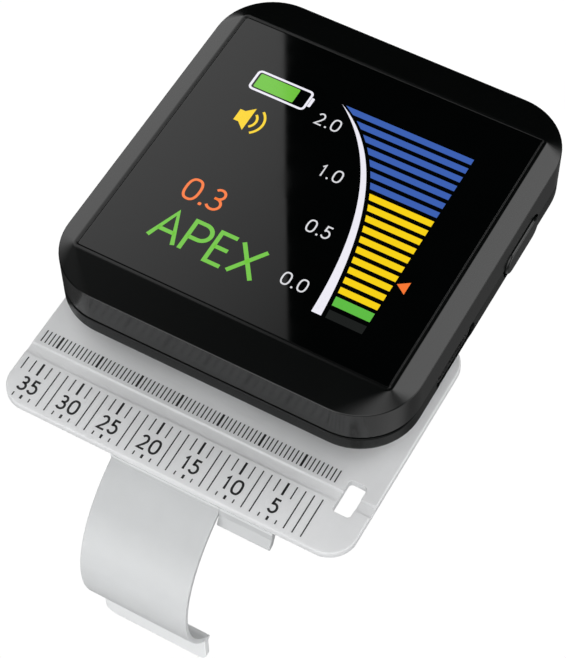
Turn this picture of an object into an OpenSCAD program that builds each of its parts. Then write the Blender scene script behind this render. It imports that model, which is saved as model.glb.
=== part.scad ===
// Apex locator for the finger: a square canal length meter with a glass display,
// which slides onto a ruler plate that a finger band carries.
// The origin is on the finger band's axis. +Z is up, and the ruler is on the -Y side.

/* [Finger band] */
// Inner radius of the finger band
band_r = 13.9; // [13.5:0.1:14.2]
// Thickness of the finger band
band_t = 0.9; // [0.7:0.1:1.1]
// Width of the finger band
band_w = 13.2; // [12:0.2:14]
// Angle below the horizontal where the band's arc ends
band_end = 43; // [40:1:48]
// How far the turned-down lip at the band's end reaches below the axis
lip_foot = 14.1; // [12:0.1:15]
// Length of the stub flange beside the band
stub_l = 6.3; // [4:0.1:8]

/* [Ruler plate] */
// Thickness of the ruler plate
plate_t = 1.0; // [0.9:0.05:1.2]
// Depth of the ruler plate, front to rear
plate_d = 29; // [27:0.5:31]
// Distance from the band's axis forward to the plate's front edge
plate_front = 6.7; // [6.4:0.1:7]
// Radius of the plate's corners
plate_corner = 3.2; // [2:0.1:4]
// Width of the groove that a file lies in
groove_w = 1.45; // [1.2:0.05:1.8]
// Depth of the file groove
groove_h = 0.35; // [0.3:0.05:0.45]

/* [Case] */
// Width of the case and of the ruler plate
case_w = 42; // [41:0.1:43]
// Depth of the case, front to rear
case_d = 45.2; // [44.5:0.1:46]
// Radius of the case's upright corners
case_corner = 7; // [6.5:0.1:7.5]
// Depth of the ruler strip that the case leaves free
ruler_d = 9.65; // [9.2:0.05:10]
// Wall thickness of the two shells
wall = 1.4; // [1.2:0.05:1.5]
// Height of the case's lower edge above the plate
skirt_h = 4.0; // [3.8:0.1:4.2]
// Height of the parting line above the plate
seam_h = 6.14; // [6:0.02:6.3]
// Height of the upright walls' top edge above the plate
brow_h = 10.6; // [10.5:0.05:10.8]
// Height of the glass above the plate
glass_h = 11.46; // [11.4:0.02:11.6]

/* [Display] */
// Width of the display glass
glass_w = 36.7; // [36:0.1:37]
// Depth of the display glass
glass_d = 35.65; // [35:0.05:36]
// Distance from the case's front to the glass
front_margin = 4.64; // [4.4:0.02:4.8]

/* [Button and socket] */
// Length of the side button's recess
button_l = 8.4; // [8:0.1:8.6]
// Height of the side button's recess
button_h = 3.8; // [3.4:0.1:3.8]
// Distance that the side button stands proud of the wall
button_proud = 0.3; // [0.2:0.05:0.5]
// Length of the lead socket's opening
socket_l = 8.7; // [8.5:0.1:9]
// Height of the lead socket's opening
socket_h = 2.5; // [2.4:0.05:2.6]

/* [Hidden] */

$fn = 48;
cut = 1;                 // how far a cutter runs past what it cuts
hull_t = 0.02;           // thickness of the sheets that a hull joins

// Heights, from the band's axis upward
plate_z = band_r + 0.1;
top_z = plate_z + plate_t;
case_z = top_z + 0.15;
floor_z = case_z + 1.25;
skirt_z = top_z + skirt_h;
seam_z = top_z + seam_h;
seam_gap = 0.25;
bezel_z = seam_z + seam_gap / 2;
cover_z = seam_z - seam_gap / 2;
brow_z = top_z + brow_h;
glass_z = top_z + glass_h;
glass_t = 1.0;
gasket_t = 0.24;
pocket_z = glass_z - glass_t - gasket_t - 0.02;
ledge_z = pocket_z - 0.6;
board_z = top_z + 6.7;
board_t = 0.8;
board_top = board_z + board_t;
web_z = board_z + 0.2;
web_top = web_z + 1.0;
tray_z = board_top + 0.55;

// Places in plan
plate_y = -plate_front;
case_y = plate_y + ruler_d;
case_mid = case_y + case_d / 2;
taper = 3.85;
rim = 0.45;
glass_y = case_y + front_margin;
glass_mid = glass_y + glass_d / 2;
window_w = glass_w - 3.3;
window_d = glass_d - 3.4;
inner_w = case_w - 2 * wall;
inner_d = case_d - 2 * wall;
inner_corner = case_corner - wall;
screw_x = case_w / 2 - case_corner;
screw_y = case_d / 2 - case_corner;
post_r = 1.9;

// The T-shaped key and its channel
key_y = case_y + 4.55;
key_end = plate_y + plate_d - 1.8;
key_stem = 8;
key_head = 14;
key_play = 0.25;
key_gap = 0.15;
channel_end = key_end + 0.2;
channel_roof = floor_z + 1.5;

// Button, socket and the other things that stand at the walls
button_y = case_y + 30.43;
button_z = top_z + 6.0;
button_travel = 0.4;
button_gap = 0.25;
flange_x = case_w / 2 - wall - 0.05;
socket_y = case_y + 15.05;
socket_z = top_z + 5.2;
board_screw_at = [[15.4, case_y + 21.35], [-15.4, case_y + 17.55]];
speaker_at = [-12.7, case_y + 26.55];
battery_at = [2.5, case_y + 27.65];
battery_size = [22, 16, 4];
battery_z = floor_z + 0.7;

// ---------- shared shapes ----------

// Flat rounded rectangle, centred
module rounded(w, d, r) {
    square([w, d - 2 * r], center = true);
    square([w - 2 * r, d], center = true);
    for (x = [-1, 1], y = [-1, 1])
        translate([x * (w / 2 - r), y * (d / 2 - r)])
            circle(r);
}

// Upright prism with round corners, centred on the case in plan
module slab(w, d, r, z0, z1) {
    translate([0, case_mid, z0])
        linear_extrude(z1 - z0)
            rounded(w, d, r);
}

// Solid that grows from an inset outline up to a larger one
module flare(inset0, z0, inset1, z1) {
    hull() {
        slab(case_w - 2 * inset0, case_d - 2 * inset0, case_corner - inset0, z0, z0 + hull_t);
        slab(case_w - 2 * inset1, case_d - 2 * inset1, case_corner - inset1, z1 - hull_t, z1);
    }
}

// Bar with round ends along Y, from x0 to x1
module stadium(x0, x1, y, z, l, h) {
    translate([x0, y, z])
        rotate([0, 90, 0])
            linear_extrude(x1 - x0) {
                square([h, l - h], center = true);
                for (s = [-1, 1])
                    translate([0, s * (l - h) / 2])
                        circle(h / 2);
            }
}

// Block centred on x and y, standing on z
module block(x, y, z, size) {
    translate([x - size[0] / 2, y - size[1] / 2, z])
        cube(size);
}

// Rectangular frame between two outlines, centred on the glass
module frame(w0, d0, w1, d1, z0, z1) {
    difference() {
        block(0, glass_mid, z0, [w0, d0, z1 - z0]);
        block(0, glass_mid, z0 - cut, [w1, d1, z1 - z0 + 2 * cut]);
    }
}

// The four corner screw places
module at_corners() {
    for (x = [-1, 1], y = [-1, 1])
        translate([x * screw_x, case_mid + y * screw_y, 0])
            children();
}

// Openings that cross both shells
module wall_openings() {
    stadium(case_w / 2 - wall - cut, case_w / 2 + cut, button_y, button_z, button_l, button_h);
    stadium(case_w / 2 - 3 * wall, case_w / 2 + cut, socket_y, socket_z, socket_l, socket_h);
}

// Small screw with a flat head at its foot, pointing up from z
module screw(z, head_r, head_h, r, l) {
    translate([0, 0, z]) {
        difference() {
            cylinder(r = head_r, h = head_h);
            for (a = [0, 90])
                rotate(a)
                    translate([-head_r * 0.6, -0.12, -cut])
                        cube([head_r * 1.2, 0.24, cut + head_h / 2]);
        }
        translate([0, 0, head_h])
            cylinder(r = r, h = l);
    }
}

// ---------- ring unit ----------

module finger_band() {
    root_end = 2.7;
    lip_front = 11.6;
    lip_t = 0.8;
    lip_top = 7.4;
    lip_corner = 1.3;
    reach = 3 * band_r;
    color([0.88, 0.89, 0.9]) {
        difference() {
            union() {
                // the round part, from the plate round to the lip, and the root pad
                rotate([90, 0, 90])
                    translate([0, 0, -band_w / 2])
                        linear_extrude(band_w) {
                            intersection() {
                                circle(band_r + band_t, $fn = 180);
                                polygon([
                                    [0, 0], [-root_end, band_r], [-root_end, plate_z],
                                    [plate_y, plate_z], [plate_y, plate_z - 0.9],
                                    [-reach, plate_z - 0.9],
                                    [-reach * cos(band_end), -reach * sin(band_end)]
                                ]);
                            }
                            translate([plate_y, band_r * 0.8])
                                square([plate_front - root_end, plate_z - band_r * 0.8]);
                        }
                // the turned-down lip
                translate([0, lip_t - lip_front, -(lip_top + lip_foot) / 2])
                    rotate([90, 0, 0])
                        linear_extrude(lip_t)
                            rounded(band_w, lip_foot - lip_top, lip_corner);
            }
            rotate([0, 90, 0])
                cylinder(r = band_r, h = band_w + 2 * cut, center = true, $fn = 180);
        }
        // the stub flange to the right of the band
        rotate([90, 0, 90])
            translate([0, 0, band_w / 2])
                linear_extrude(stub_l)
                    polygon([
                        [plate_y, plate_z], [plate_y - 0.2, plate_z - 1.4], [plate_y - 0.7, plate_z - 2.5],
                        [plate_y - 0.6, plate_z - 2.75], [plate_y + 0.2, plate_z - 2.6],
                        [plate_y + 0.7, plate_z - 1.4], [plate_y + 0.8, plate_z]
                    ]);
    }
}

module ruler_plate() {
    hole_w = 2.05;
    hole_d = 4.1;
    hole_x = 18.15;
    hole_y = 0.25;
    groove_y = 0.03;
    r = plate_corner;
    color([0.86, 0.87, 0.88, 0.8])
        difference() {
            translate([0, plate_y + plate_d / 2, plate_z])
                linear_extrude(plate_t)
                    rounded(case_w, plate_d, r);
            translate([-case_w / 2 - cut, groove_y - groove_w / 2, top_z - groove_h])
                cube([case_w + 2 * cut, groove_w, groove_h + cut]);
            block(hole_x, hole_y, plate_z - cut, [hole_w, hole_d, plate_t + 2 * cut]);
            key_screw_places()
                translate([0, 0, plate_z]) {
                    cylinder(r1 = 1.4, r2 = 0.85, h = 0.6);
                    cylinder(r = 0.85, h = plate_t + cut);
                }
        }
}

module key_screw_places() {
    for (y = [key_y + 3, key_end - 3])
        translate([0, y, 0])
            children();
}

module slide_key() {
    color([0.8, 0.81, 0.82])
        difference() {
            union() {
                translate([-key_stem / 2, key_y, top_z])
                    cube([key_stem, key_end - key_y, floor_z + key_gap - top_z]);
                translate([-key_head / 2, key_y, floor_z + key_gap])
                    cube([key_head, key_end - key_y, channel_roof - floor_z - 2 * key_gap]);
            }
            key_screw_places()
                translate([0, 0, top_z - cut])
                    cylinder(r = 0.78, h = 2 + cut);
        }
}

module key_screws() {
    color([0.75, 0.75, 0.77])
        key_screw_places()
            translate([0, 0, plate_z]) {
                difference() {
                    cylinder(r1 = 1.36, r2 = 0.76, h = 0.6);
                    for (a = [0, 90])
                        rotate(a)
                            translate([-0.7, -0.12, -cut])
                                cube([1.4, 0.24, cut + 0.3]);
                }
                cylinder(r = 0.76, h = plate_t + 1.8);
            }
}

// ---------- case ----------

module rear_cover() {
    edge_t = 0.3;
    color([0.17, 0.18, 0.18])
        difference() {
            union() {
                difference() {
                    union() {
                        slab(case_w, case_d, case_corner, skirt_z - hull_t, cover_z);
                        flare(taper, case_z + edge_t - hull_t, 0, skirt_z);
                        slab(case_w - 2 * taper, case_d - 2 * taper, case_corner - taper,
                             case_z, case_z + edge_t);
                    }
                    slab(inner_w, inner_d, inner_corner, skirt_z + 0.2 - hull_t, cover_z + cut);
                    flare(taper + 0.45, floor_z, wall, skirt_z + 0.2);
                }
                // the channel's roof and cheeks
                translate([-key_head / 2 - 1.3, case_y + 4, floor_z - hull_t])
                    cube([key_head + 2.6, channel_end + 0.9 - case_y - 4, channel_roof + 0.7 - floor_z]);
                at_corners()
                    translate([0, 0, floor_z - hull_t])
                        cylinder(r = post_r, h = web_z - 2 - floor_z - 0.1);
                for (p = board_screw_at)
                    translate([p[0], p[1], floor_z - hull_t])
                        cylinder(r = 1.5, h = board_z - floor_z + hull_t);
            }
            wall_openings();
            // T channel, open at the front
            translate([-key_stem / 2 - key_play, case_y - cut, case_z - cut])
                cube([key_stem + 2 * key_play, channel_end - case_y + cut, floor_z - case_z + 2 * cut]);
            translate([-key_head / 2 - key_play, case_y - cut, floor_z])
                cube([key_head + 2 * key_play, channel_end - case_y + cut, channel_roof - floor_z]);
            at_corners()
                translate([0, 0, case_z - cut]) {
                    cylinder(r = 1.5, h = cut + 0.9);
                    cylinder(r = 0.85, h = 3 * cut + seam_h);
                }
            for (p = board_screw_at)
                translate([p[0], p[1], board_z - 2.2])
                    cylinder(r = 0.62, h = 2.2 + cut);
            // sound holes
            for (i = [-2:2])
                translate([speaker_at[0], speaker_at[1] + 1.7 * i, case_z - cut])
                    cylinder(r = 0.45, h = 2 + cut);
        }
}

module front_bezel() {
    color([0.2, 0.21, 0.21])
        difference() {
            union() {
                difference() {
                    union() {
                        slab(case_w, case_d, case_corner, bezel_z, brow_z - hull_t);
                        hull() {
                            slab(case_w, case_d, case_corner, brow_z - 2 * hull_t, brow_z);
                            block(0, glass_mid, glass_z - hull_t,
                                  [glass_w + 2 * rim, glass_d + 2 * rim, hull_t]);
                        }
                    }
                    slab(inner_w, inner_d, inner_corner, bezel_z - cut, ledge_z);
                    block(0, glass_mid, ledge_z - cut, [window_w, window_d, 3 * cut]);
                    block(0, glass_mid, pocket_z, [glass_w + 0.1, glass_d + 0.1, 3 * cut]);
                }
                // corner webs and screw posts
                intersection() {
                    slab(inner_w + 0.4, inner_d + 0.4, inner_corner + 0.2, web_z, web_top);
                    for (x = [-1, 1], y = [-1, 1])
                        block(x * inner_w / 2, case_mid + y * inner_d / 2, web_z,
                              [2 * (inner_w / 2 - screw_x + post_r), 2 * (inner_d / 2 - screw_y + post_r), 2]);
                }
                at_corners()
                    translate([0, 0, web_z - 2])
                        cylinder(r = post_r, h = web_top - web_z + 2);
            }
            wall_openings();
            at_corners()
                translate([0, 0, web_z - 2 - cut])
                    cylinder(r = 0.78, h = 2.6 + cut);
        }
}

module seam_gasket() {
    color([0.03, 0.03, 0.03])
        difference() {
            slab(case_w - 0.9, case_d - 0.9, case_corner - 0.45, cover_z, bezel_z);
            slab(case_w - 2.5, case_d - 2.5, case_corner - 1.25, cover_z - cut, bezel_z + cut);
            wall_openings();
        }
}

module case_screws() {
    color([0.7, 0.7, 0.72])
        at_corners()
            screw(case_z + 0.2, 1.4, 0.7, 0.75, 5.2);
}

module side_button() {
    stem_x = flange_x - 1.35;
    color([0.2, 0.21, 0.21]) {
        stadium(flange_x - 0.1, case_w / 2 + button_proud, button_y, button_z,
                button_l - 2 * button_gap, button_h - 2 * button_gap);
        block(flange_x - 0.3, button_y, button_z - button_h / 2 + button_gap,
              [0.6, button_l + 0.9, button_h - 2 * button_gap]);
        translate([stem_x, button_y, button_z])
            rotate([0, 90, 0])
                cylinder(r = 0.7, h = 1);
    }
}

module button_switch() {
    plunger_x = flange_x - 1.35 - button_travel - 0.1;
    color([0.85, 0.85, 0.86]) {
        block(plunger_x - 0.5 - 0.95, button_y, board_z - 1.8, [1.9, 4.2, 1.8]);
        block(plunger_x - 0.3, button_y, board_z - 1.4, [0.6, 1.6, 1.1]);
    }
}

// ---------- display ----------

module display_glass() {
    color([0.02, 0.025, 0.03])
        block(0, glass_mid, glass_z - glass_t, [glass_w, glass_d, glass_t]);
}

module glass_gasket() {
    color([0.05, 0.05, 0.05])
        frame(glass_w - 0.1, glass_d - 0.1, window_w + 0.2, window_d + 0.2, pocket_z, pocket_z + gasket_t);
}

// The tray, guide and panel share this outline
module display_block(inset, z0, z1) {
    block(0, glass_mid, z0, [window_w - 2 * inset, window_d - 2 * inset, z1 - z0]);
}

module backlight_tray() {
    color([0.9, 0.9, 0.88])
        difference() {
            display_block(0.2, tray_z, tray_z + 1.4);
            display_block(0.5, tray_z + 0.25, tray_z + 2);
            // way out for the ribbon
            block(0, glass_mid - window_d / 2, tray_z + 0.5, [13, 2, 2]);
        }
}

module light_guide() {
    color([0.85, 0.9, 0.95, 0.6])
        display_block(0.55, tray_z + 0.25, tray_z + 0.85);
}

module display_panel() {
    color([0.05, 0.06, 0.07])
        display_block(0.6, tray_z + 0.87, glass_z - glass_t - 0.1);
}

module display_ribbon() {
    ribbon_t = 0.15;
    bend_r = 0.9;
    bend_y = case_y + 3.4;
    run_z = tray_z + 1.15;
    color([0.75, 0.5, 0.15])
        rotate([90, 0, 90])
            translate([0, 0, -5.5])
                linear_extrude(11) {
                    translate([bend_y, run_z - ribbon_t])
                        square([glass_mid - window_d / 2 + 0.59 - bend_y, ribbon_t]);
                    translate([bend_y, run_z - bend_r])
                        intersection() {
                            difference() {
                                circle(bend_r);
                                circle(bend_r - ribbon_t);
                            }
                            translate([-bend_r, 0])
                                square(bend_r);
                        }
                    translate([bend_y - bend_r, board_top + 0.6])
                        square([ribbon_t, run_z - bend_r - board_top - 0.6]);
                }
}

module ribbon_connector() {
    color([0.12, 0.12, 0.13])
        block(0, case_y + 2.9, board_top, [12.5, 1.6, 0.6]);
}

// ---------- electronics ----------

module main_board() {
    notch_x = screw_x - post_r - 0.4;
    notch_y = screw_y - post_r - 0.4;
    color([0.05, 0.3, 0.15])
        difference() {
            slab(inner_w - 0.8, inner_d - 0.8, inner_corner - 0.4, board_z, board_top);
            for (x = [-1, 1], y = [-1, 1])
                block(x * (notch_x + 10), case_mid + y * (notch_y + 10), board_z - cut, [20, 20, 3]);
            // room for the side button
            block(inner_w / 2, button_y, board_z - cut, [5, button_l + 1.8, 3]);
            for (p = board_screw_at)
                translate([p[0], p[1], board_z - cut])
                    cylinder(r = 0.75, h = 3);
        }
}

module board_screws() {
    color([0.75, 0.75, 0.77])
        for (p = board_screw_at)
            translate([p[0], p[1], board_top + 0.5])
                mirror([0, 0, 1])
                    screw(0, 1.2, 0.5, 0.6, 2.7);
}

module controller_chip() {
    color([0.1, 0.1, 0.11])
        block(-2.5, case_y + 9, board_z - 0.9, [7, 7, 0.9]);
}

module amplifier_chip() {
    color([0.1, 0.1, 0.11])
        block(-13, case_y + 11, board_z - 0.9, [5, 4, 0.9]);
}

module shield_can() {
    can = [9, 11, 1.6];
    color([0.75, 0.75, 0.77])
        difference() {
            block(7, case_y + 10.5, board_z - can[2], can);
            block(7, case_y + 10.5, board_z - can[2] + 0.2, [can[0] - 0.4, can[1] - 0.4, can[2]]);
        }
}

module power_coil() {
    color([0.25, 0.25, 0.26])
        translate([-8.4, case_y + 17.4, board_z - 1.5])
            cylinder(r = 1.6, h = 1.5);
}

module socket_shell() {
    l = socket_l - 1.1;
    h = socket_h - 0.2;
    t = 0.3;
    x0 = case_w / 2 - 5.8;
    x1 = case_w / 2 - 0.3;
    color([0.7, 0.7, 0.72]) {
        difference() {
            stadium(x0, x1, socket_y, socket_z, l, h);
            stadium(x0 - cut, x1 + cut, socket_y, socket_z, l - 2 * t, h - 2 * t);
        }
        // solder lugs up to the board
        for (s = [-1, 1])
            block(x0 + 1.2, socket_y + s * (l / 2 - 1.6), socket_z + h / 2 - 0.1,
                  [1.6, 1.2, board_z - socket_z - h / 2 + 0.1]);
    }
}

module socket_core() {
    x0 = case_w / 2 - 5.8;
    color([0.05, 0.05, 0.06]) {
        stadium(x0 + 0.05, x0 + 1.2, socket_y, socket_z, socket_l - 1.8, socket_h - 0.9);
        block(x0 + 2.9, socket_y, socket_z + 0.05, [3.6, 4.8, 0.5]);
    }
}

module battery_pack() {
    color([0.75, 0.76, 0.78])
        block(battery_at[0], battery_at[1], battery_z, battery_size);
}

module battery_foam() {
    color([0.15, 0.15, 0.16])
        block(battery_at[0], battery_at[1], battery_z + battery_size[2],
              [battery_size[0] - 4, battery_size[1] - 4, board_z - battery_z - battery_size[2]]);
}

module battery_connector() {
    color([0.92, 0.9, 0.82])
        block(battery_at[0] - 6, battery_at[1] + 13, board_z - 2, [5, 3, 2]);
}

module battery_wires() {
    wire_r = 0.35;
    start_y = battery_at[1] + battery_size[1] / 2;
    end_y = battery_at[1] + 11.5;
    color([0.7, 0.1, 0.1])
        for (x = [-6.8, -5.2])
            translate([battery_at[0] + x, start_y, board_z - 1])
                rotate([-90, 0, 0])
                    cylinder(r = wire_r, h = end_y - start_y);
}

module speaker() {
    color([0.3, 0.3, 0.31]) {
        block(speaker_at[0], speaker_at[1], floor_z + 0.2, [7, 11, 2.2]);
        translate([speaker_at[0], speaker_at[1], floor_z + 2.4])
            cylinder(r = 2.6, h = 0.6);
    }
}

module speaker_mesh() {
    color([0.1, 0.1, 0.1])
        block(speaker_at[0], speaker_at[1], floor_z, [3, 10, 0.2]);
}

finger_band();
ruler_plate();
slide_key();
key_screws();
rear_cover();
front_bezel();
seam_gasket();
case_screws();
display_glass();
glass_gasket();
display_panel();
light_guide();
backlight_tray();
display_ribbon();
ribbon_connector();
main_board();
board_screws();
controller_chip();
amplifier_chip();
shield_can();
power_coil();
button_switch();
side_button();
socket_shell();
socket_core();
battery_pack();
battery_foam();
battery_wires();
battery_connector();
speaker();
speaker_mesh();
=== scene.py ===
"""Looks for an apex locator worn on a finger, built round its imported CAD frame.

Helper functions take millimetres in the row frame; meshes are scaled to metres when they are made.
"""

import math

import bmesh
import bpy
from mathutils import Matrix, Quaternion, Vector


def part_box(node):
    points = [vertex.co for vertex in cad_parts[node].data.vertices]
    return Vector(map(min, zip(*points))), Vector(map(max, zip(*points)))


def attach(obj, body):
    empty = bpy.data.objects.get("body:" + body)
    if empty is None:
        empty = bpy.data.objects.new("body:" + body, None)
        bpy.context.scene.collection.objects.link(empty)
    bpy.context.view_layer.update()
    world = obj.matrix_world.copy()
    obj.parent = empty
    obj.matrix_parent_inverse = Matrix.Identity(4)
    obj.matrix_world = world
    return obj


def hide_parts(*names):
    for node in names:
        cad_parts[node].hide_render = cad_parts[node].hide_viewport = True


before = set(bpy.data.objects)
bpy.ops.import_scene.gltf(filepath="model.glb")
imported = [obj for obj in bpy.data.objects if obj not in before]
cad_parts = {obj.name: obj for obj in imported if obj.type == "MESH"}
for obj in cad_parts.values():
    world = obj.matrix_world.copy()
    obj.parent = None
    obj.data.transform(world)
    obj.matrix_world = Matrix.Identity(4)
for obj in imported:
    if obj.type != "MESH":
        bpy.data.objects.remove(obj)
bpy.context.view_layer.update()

MM = 0.001


def mm_box(node):
    """Lowest and highest corner of a CAD node in millimetres."""
    low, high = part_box(node)
    return low / MM, high / MM


# ---------- places, from the frame ----------

COVER_LOW, COVER_HIGH = mm_box("rear_cover")
BEZEL_LOW, BEZEL_HIGH = mm_box("front_bezel")
GLASS_LOW, GLASS_HIGH = mm_box("display_glass")
PLATE_LOW, PLATE_HIGH = mm_box("ruler_plate")
BAND_LOW, BAND_HIGH = mm_box("finger_band")
BUTTON_LOW, BUTTON_HIGH = mm_box("side_button")
KEY_LOW, KEY_HIGH = mm_box("slide_key")
SPEAKER_LOW, SPEAKER_HIGH = mm_box("speaker_mesh")
SOCKET_LOW, SOCKET_HIGH = mm_box("socket_shell")
SEAM_LOW, SEAM_HIGH = mm_box("seam_gasket")

CASE_W = BEZEL_HIGH.x - BEZEL_LOW.x
CASE_D = BEZEL_HIGH.y - BEZEL_LOW.y
CASE_MID = (BEZEL_HIGH.y + BEZEL_LOW.y) / 2
GLASS_W = GLASS_HIGH.x - GLASS_LOW.x
GLASS_D = GLASS_HIGH.y - GLASS_LOW.y
GLASS_MID = (GLASS_HIGH.y + GLASS_LOW.y) / 2
TOP = GLASS_HIGH.z
PLATE_TOP = PLATE_HIGH.z
PLATE_MID = (PLATE_HIGH.y + PLATE_LOW.y) / 2

# ---------- shape values, in millimetres ----------

CORNER = 7.0            # radius of the case's upright corners
WALL = 1.4
SKIRT_Z = PLATE_TOP + 4.0   # where the tapered skirt meets the cover's wall
BROW_Z = PLATE_TOP + 10.6   # where the bezel's wall meets its slopes
TAPER = 3.85            # how far the case's bottom lies inside its walls
RIM = 0.45              # flat border round the glass
SEAM_GAP = 0.04         # how far each shell stays clear of the seam's gasket
POCKET_Z = TOP - 1.26   # floor of the glass pocket
LEDGE_Z = POCKET_Z - 0.6
WINDOW_MARGIN = 1.7     # from the glass's edge in to the display window
FLOOR_Z = COVER_LOW.z + 1.25
PRINT_T = 0.02          # thickness of printed and lit marks
GLASS_TOP = TOP - PRINT_T
ARC_STEPS = 16          # segments in a quarter turn of a large corner
SHARP = 35.0            # degrees; edges above this angle stay sharp

BAND_INNER_R, BAND_OUTER_R = 14.2, 14.8
BAND_END = 223.0        # degrees round from the rear, where the arc meets the lip
BAND_ROOT_Y = -2.7      # rear end of the pad under the plate
PAD_T = 0.9             # thickness of that pad
BAND_EDGE = 0.12        # rounding of the band's long edges
LIP_CORNER = 1.3        # radius of the lip's lower corners
LIP_FRONT, LIP_TOP, LIP_T = -11.6, -9.2, 0.8

PLATE_CORNER, PLATE_EDGE = 3.2, 0.2
GROOVE_Y, GROOVE_HALF, GROOVE_DEPTH = 0.03, 0.73, 0.24
GROOVE_EDGE = 0.06
HOLE_X, HOLE_Y, HOLE_W, HOLE_D = 18.15, 0.25, 2.05, 4.1
KEY_SCREWS_Y = (KEY_LOW.y + 3, KEY_HIGH.y - 3)
KEY_BORE_R, KEY_HEAD_R, KEY_HEAD_DEPTH = 0.86, 1.42, 0.5

BUTTON_L, BUTTON_H, BUTTON_GAP = 7.9, 3.3, 0.25
BUTTON_Y = (BUTTON_LOW.y + BUTTON_HIGH.y) / 2
BUTTON_Z = (BUTTON_LOW.z + BUTTON_HIGH.z) / 2
SOCKET_L, SOCKET_H = 8.7, 2.5
SOCKET_Y = (SOCKET_LOW.y + SOCKET_HIGH.y) / 2
SOCKET_Z = PLATE_TOP + 5.2

POST_R = 1.9            # screw posts at the four corners
WEB_Z = PLATE_TOP + 6.9
POST_END = WEB_Z - 2    # where the front shell's posts meet the rear shell's
PILOT_R = 0.78          # screw's hole in the front shell's post
SHANK_R = 0.85          # screw's hole in the rear shell's post
SCREW_HEAD_R, SCREW_HEAD_DEPTH = 1.5, 0.9
SPEAKER_HOLE_R, SPEAKER_PITCH = 0.45, 1.7

# ---------- mesh helpers ----------


def arc(cx, cy, rx, ry, start, end, steps):
    """Points of an elliptical arc between two angles in degrees."""
    points = []
    for i in range(steps + 1):
        a = math.radians(start + (end - start) * i / steps)
        points.append((cx + rx * math.cos(a), cy + ry * math.sin(a)))
    return points


def disc(cx, cy, r, sides):
    """Outline of a circle with the given number of sides."""
    return arc(cx, cy, r, r, 0, 360 - 360 / sides, sides - 1)


def rounded_rect(w, d, r, cx=0.0, cy=0.0, steps=ARC_STEPS):
    """Outline of a rectangle with round corners, anticlockwise."""
    points = []
    for sx, sy, start in ((1, -1, -90), (1, 1, 0), (-1, 1, 90), (-1, -1, 180)):
        points += arc(cx + sx * (w / 2 - r), cy + sy * (d / 2 - r), r, r, start, start + 90, steps)
    return points


def filleted(corners, steps=5):
    """Outline through (x, y, radius) corners, each rounded to its radius."""
    points = []
    for i, (x, y, r) in enumerate(corners):
        here = Vector((x, y))
        before = Vector(corners[i - 1][:2]) - here
        after = Vector(corners[(i + 1) % len(corners)][:2]) - here
        if r <= 0:
            points.append((x, y))
            continue
        half = before.angle(after) / 2
        reach = min(r / math.tan(half), before.length * 0.49, after.length * 0.49)
        first = here + before.normalized() * reach
        last = here + after.normalized() * reach
        for k in range(steps + 1):
            t = k / steps
            p = first.lerp(here, t).lerp(here.lerp(last, t), t)
            points.append((p.x, p.y))
    return points


def area(outline):
    """Signed area of a closed outline, above zero when anticlockwise."""
    total = 0.0
    for (x0, y0), (x1, y1) in zip(outline, outline[1:] + outline[:1]):
        total += x0 * y1 - x1 * y0
    return total / 2


def shrunk(outline, amount):
    """Anticlockwise outline moved inwards by amount."""
    points = []
    count = len(outline)
    for i in range(count):
        here = Vector(outline[i])
        a = (here - Vector(outline[i - 1])).normalized()
        b = (Vector(outline[(i + 1) % count]) - here).normalized()
        normal_a = Vector((-a.y, a.x))
        normal_b = Vector((-b.y, b.x))
        mitre = (normal_a + normal_b).normalized()
        reach = amount / max(0.4, mitre.dot(normal_a))
        points.append(tuple(here + mitre * reach))
    return points


def on_xy(u, v, t):
    """Point of an outline drawn in x and y, at height t."""
    return (u, v, t)


def on_yz(u, v, t):
    """Point of an outline drawn in y and z, at x = t."""
    return (t, u, v)


def on_xz(u, v, t):
    """Point of an outline drawn in x and z, at y = t."""
    return (u, t, v)


def bridge(bm, loops, closed=False):
    """Quads between successive loops of vertices, with caps unless the loops close on themselves."""
    pairs = list(zip(loops, loops[1:]))
    if closed:
        pairs.append((loops[-1], loops[0]))
    for a, b in pairs:
        for i in range(len(a)):
            j = (i + 1) % len(a)
            bm.faces.new((a[i], a[j], b[j], b[i]))
    if not closed:
        bm.faces.new(list(reversed(loops[0])))
        bm.faces.new(loops[-1])


def add_prism(bm, outline, t0, t1, place=on_xy, soft=0.0, steps=3):
    """Adds a solid with the section outline from t0 to t1, its end edges rounded to soft."""
    if area(outline) < 0:
        outline = list(reversed(outline))
    levels = [(t0, 0.0), (t1, 0.0)]
    if soft > 0:
        turns = [math.pi / 2 * k / steps for k in range(steps, -1, -1)]
        start = [(t0 + soft * (1 - math.sin(a)), soft * (1 - math.cos(a))) for a in turns]
        levels = start + [(t0 + t1 - t, inset) for t, inset in reversed(start)]
    loops = []
    for t, inset in levels:
        section = shrunk(outline, inset) if inset > 1e-6 else outline
        loops.append([bm.verts.new(place(u, v, t)) for u, v in section])
    bridge(bm, loops)


def ribbon_outline(points, width):
    """Outline of an open stroke of the given width along the points, with flat ends."""
    left, right = [], []
    for i, point in enumerate(points):
        here = Vector(point)
        a = (here - Vector(points[i - 1])).normalized() if i > 0 else None
        b = (Vector(points[i + 1]) - here).normalized() if i < len(points) - 1 else None
        a = a or b
        b = b or a
        side = (Vector((-a.y, a.x)) + Vector((-b.y, b.x))).normalized()
        reach = width / 2 / max(0.55, side.dot(Vector((-a.y, a.x))))
        left.append(tuple(here + side * reach))
        right.append(tuple(here - side * reach))
    return right + list(reversed(left))


def add_stroke(bm, points, width, z0, z1, closed=False):
    """Adds a flat raised stroke along the points."""
    if not closed:
        add_prism(bm, ribbon_outline(points, width), z0, z1)
        return
    outer = shrunk(points, -width / 2)
    inner = shrunk(points, width / 2)
    loops = []
    for outline, z in ((outer, z0), (outer, z1), (inner, z1), (inner, z0)):
        loops.append([bm.verts.new((u, v, z)) for u, v in outline])
    bridge(bm, loops, closed=True)


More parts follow.
